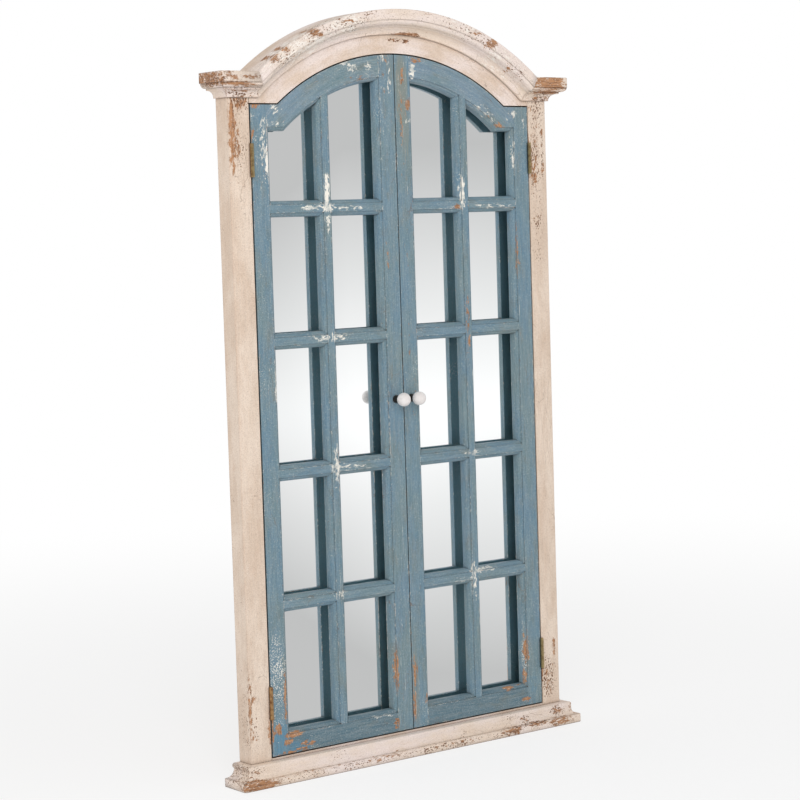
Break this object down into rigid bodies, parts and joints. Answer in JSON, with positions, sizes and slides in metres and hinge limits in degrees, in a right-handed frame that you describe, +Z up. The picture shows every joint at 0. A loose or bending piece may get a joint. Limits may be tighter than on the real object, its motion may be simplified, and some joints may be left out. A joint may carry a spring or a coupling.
{
  "type": "shutter mirror",
  "caption": "Arched wall mirror behind a pair of hinged small-paned shutter doors, in a painted frame with a moulded base, capped posts and an arched cornice.",
  "frame": {"origin": "on the floor under the centre of the bounding box", "axes": "+Z up, +Y from the doors towards the wall, +X to the right of someone who faces the mirror"},
  "size_m": [0.677, 0.0632, 1.173],
  "materials": {
    "cream_paint": "worn matt cream paint over bare wood",
    "blue_paint": "worn matt grey-blue paint over a white coat and bare wood",
    "mirror": "silvered, polished",
    "back_board": "plain board",
    "steel": "zinc plated",
    "hinge_brass": "dull, tarnished",
    "white_knob": "white satin lacquer",
    "black_stem": "black satin"
  },
  "bodies": {
    "frame": {"left_post": "cream_paint", "right_post": "cream_paint", "arched_header": "cream_paint", "bottom_rail": "cream_paint", "arch_cornice": "cream_paint", "left_cap_front": "cream_paint", "right_cap_front": "cream_paint", "left_cap_return": "cream_paint", "right_cap_return": "cream_paint", "base_front": "cream_paint", "left_base_return": "cream_paint", "right_base_return": "cream_paint", "left_stop": "cream_paint", "right_stop": "cream_paint", "top_stop": "cream_paint", "bottom_stop": "cream_paint", "mirror_glass": "mirror", "back_panel": "back_board", "back_screws": "steel", "hangers": "steel", "left_upper_frame_leaf": "hinge_brass", "left_lower_frame_leaf": "hinge_brass", "right_upper_frame_leaf": "hinge_brass", "right_lower_frame_leaf": "hinge_brass", "hinge_pins": "hinge_brass", "frame_leaf_screws": "hinge_brass", "catch_magnets": "steel"},
    "left_door": {"left_outer_stile": "blue_paint", "left_meeting_stile": "blue_paint", "left_top_rail": "blue_paint", "left_bottom_rail": "blue_paint", "left_upright_bar": "blue_paint", "left_cross_bar_1": "blue_paint", "left_cross_bar_2": "blue_paint", "left_cross_bar_3": "blue_paint", "left_cross_bar_4": "blue_paint", "left_knob": "white_knob", "left_knob_stem": "black_stem", "left_knob_screw": "steel", "left_upper_door_leaf": "hinge_brass", "left_lower_door_leaf": "hinge_brass", "left_door_leaf_screws": "hinge_brass", "left_strike": "steel"},
    "right_door": {"right_outer_stile": "blue_paint", "right_meeting_stile": "blue_paint", "right_top_rail": "blue_paint", "right_bottom_rail": "blue_paint", "right_upright_bar": "blue_paint", "right_cross_bar_1": "blue_paint", "right_cross_bar_2": "blue_paint", "right_cross_bar_3": "blue_paint", "right_cross_bar_4": "blue_paint", "right_knob": "white_knob", "right_knob_stem": "black_stem", "right_knob_screw": "steel", "right_upper_door_leaf": "hinge_brass", "right_lower_door_leaf": "hinge_brass", "right_door_leaf_screws": "hinge_brass", "right_strike": "steel"}
  },
  "joints": [
    {"name": "left_door_swing", "type": "hinge", "parent": "frame", "child": "left_door", "pos_m": [-0.272, -0.00341, 0.533], "axis": [0, 0, -1], "range_deg": [0, 150]},
    {"name": "right_door_swing", "type": "hinge", "parent": "frame", "child": "right_door", "pos_m": [0.272, -0.00341, 0.533], "axis": [0, 0, 1], "range_deg": [0, 150]}
  ]
}
